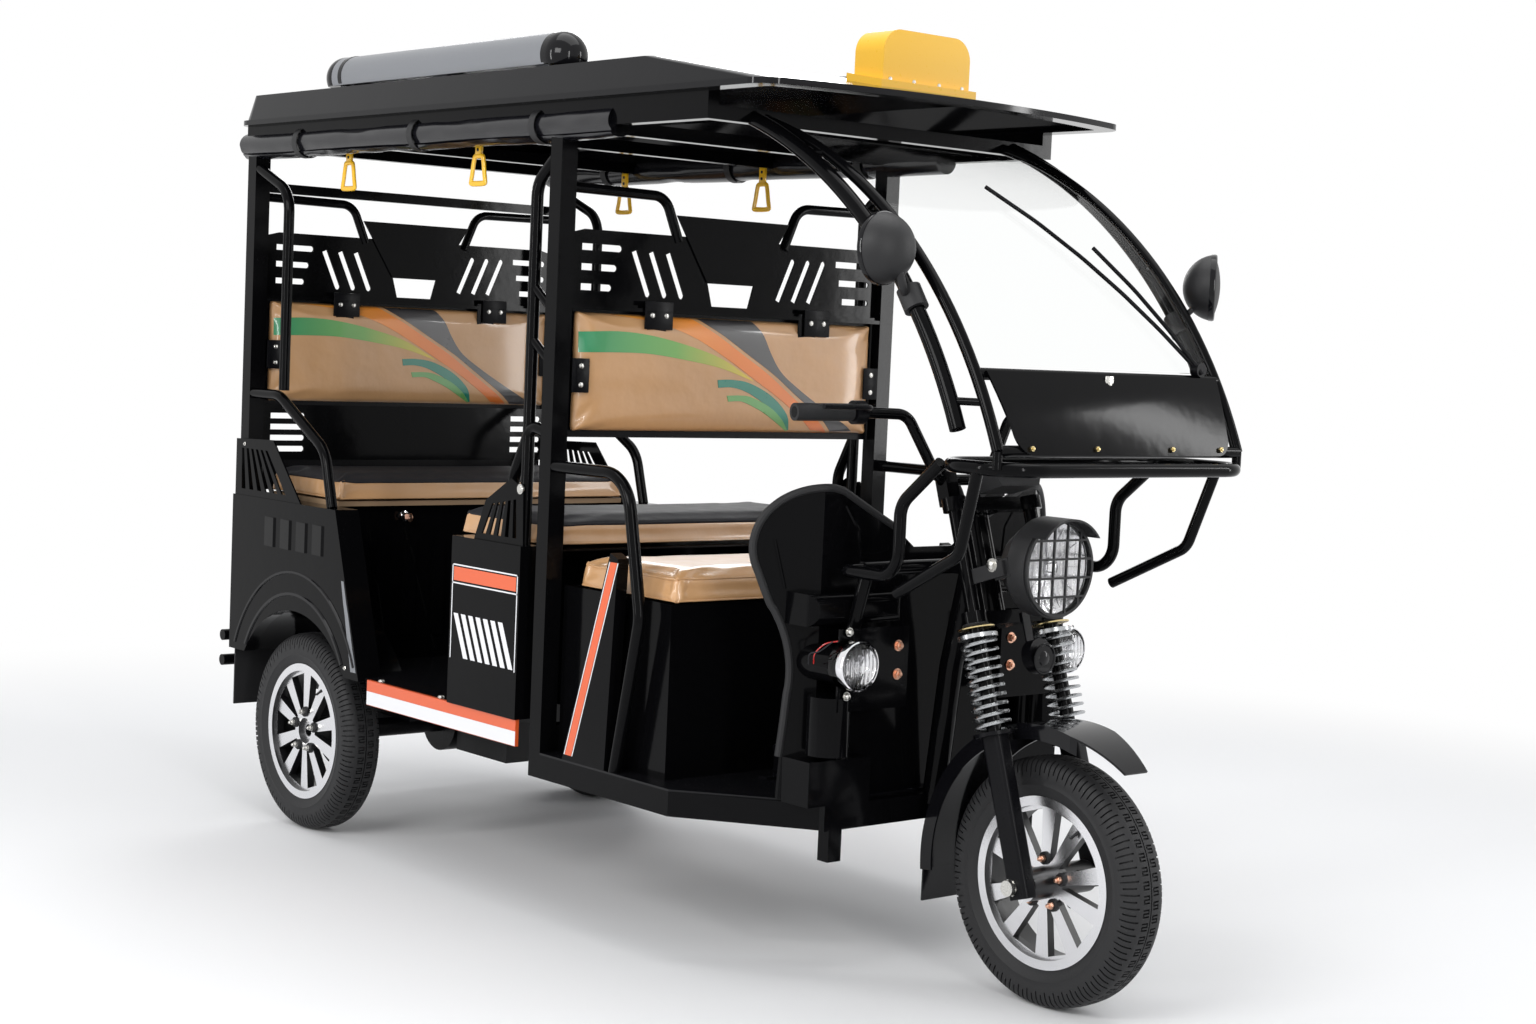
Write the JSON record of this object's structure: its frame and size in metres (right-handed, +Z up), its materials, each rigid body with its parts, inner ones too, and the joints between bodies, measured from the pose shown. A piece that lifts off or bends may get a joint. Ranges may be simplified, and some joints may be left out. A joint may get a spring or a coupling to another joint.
{
  "type": "electric rickshaw",
  "caption": "Open passenger three-wheeler with a steered fork, a driver's bench, two facing benches, a windscreen and a hard roof.",
  "frame": {"origin": "on the ground, under the middle of the vehicle's box, wheels straight ahead", "axes": "+Z up, the front faces -Y, the vehicle's left side is +X"},
  "size_m": [1, 2.684, 1.8698],
  "materials": {
    "tyre": "matte tread",
    "polished_alloy": "polished",
    "satin_black": "satin",
    "black_paint": "high gloss",
    "floor_black": "gloss",
    "chrome": "polished",
    "spring_steel": "zinc plated",
    "zinc_steel": "zinc plated",
    "cast_black": "painted",
    "black_rubber": "matte",
    "matte_black_plastic": "matte",
    "gloss_black_plastic": "gloss",
    "clear_lens": "clear",
    "clear_glass": "clear",
    "red_lens": "gloss",
    "tan_leather": "under clear film",
    "charcoal_leather": "satin",
    "plywood": "plain board",
    "orange_paint": "gloss",
    "brushed_alloy": "brushed",
    "yellow_plastic": "gloss",
    "black_vinyl": "gloss vinyl, rolled"
  },
  "bodies": {
    "body": {"chassis_frame": "black_paint", "floor_panels": "floor_black", "seat_boxes": "black_paint", "driver_cushion": "tan_leather", "middle_cushion": "charcoal_leather", "middle_backrest": "tan_leather", "rear_backrest": "tan_leather", "back_plates": "black_paint", "middle_posts": "black_paint", "rear_posts": "black_paint", "side_boxes": "black_paint", "slant_panels": "black_paint", "sill_boards": "orange_paint", "rear_body": "black_paint", "tail_lamps": "red_lens", "rear_bumper": "black_paint", "mud_flaps": "black_rubber", "windscreen_frame": "black_paint", "windscreen_glass": "clear_glass", "front_panel": "black_paint", "nose_hoop": "black_paint", "wiper": "satin_black", "mirrors": "matte_black_plastic", "cowl": "black_paint", "front_indicators": "clear_lens", "roof_shell": "gloss_black_plastic", "roof_frame": "black_paint", "roof_pods": "brushed_alloy", "roof_sign": "yellow_plastic", "curtain_rolls": "black_vinyl", "grab_handles": "yellow_plastic", "rear_axle": "satin_black", "drive_motor": "cast_black", "leaf_springs": "satin_black", "floor_controls": "satin_black"},
    "steering": {"fork_legs": "satin_black", "fork_stanchions": "chrome", "fork_springs": "spring_steel", "fork_yokes": "black_paint", "handlebar": "black_paint", "handlebar_grips": "black_rubber", "hand_levers": "satin_black", "headlamp_shell": "matte_black_plastic", "headlamp_lens": "clear_lens", "dash_pod": "matte_black_plastic", "horn": "satin_black", "front_mudguard": "gloss_black_plastic", "front_axle": "zinc_steel"},
    "rear_seat": {"rear_seat_lid": "plywood", "rear_cushion": "charcoal_leather"},
    "front_wheel": {"front_tyre": "tyre", "front_rim": "polished_alloy"},
    "rear_wheel_right": {"rear_tyre_right": "tyre", "rear_rim_right": "polished_alloy"},
    "rear_wheel_left": {"rear_tyre_left": "tyre", "rear_rim_left": "polished_alloy"}
  },
  "joints": [
    {"name": "steering_turn", "type": "hinge", "parent": "body", "child": "steering", "pos_m": [0, -1.06586, 0.22826], "axis": [0, 0.309, 0.9511], "range_deg": [-38, 38]},
    {"name": "front_wheel_spin", "type": "hinge", "parent": "steering", "child": "front_wheel", "pos_m": [0, -1.102, 0.24], "axis": [1, 0, 0], "continuous": true},
    {"name": "rear_wheel_right_spin", "type": "hinge", "parent": "body", "child": "rear_wheel_right", "pos_m": [-0.424, 0.958, 0.24], "axis": [1, 0, 0], "continuous": true},
    {"name": "rear_wheel_left_spin", "type": "hinge", "parent": "body", "child": "rear_wheel_left", "pos_m": [0.424, 0.958, 0.24], "axis": [1, 0, 0], "continuous": true},
    {"name": "rear_seat_lift", "type": "hinge", "parent": "body", "child": "rear_seat", "pos_m": [0, 1.218, 0.798], "axis": [-1, 0, 0], "range_deg": [0, 28]}
  ]
}
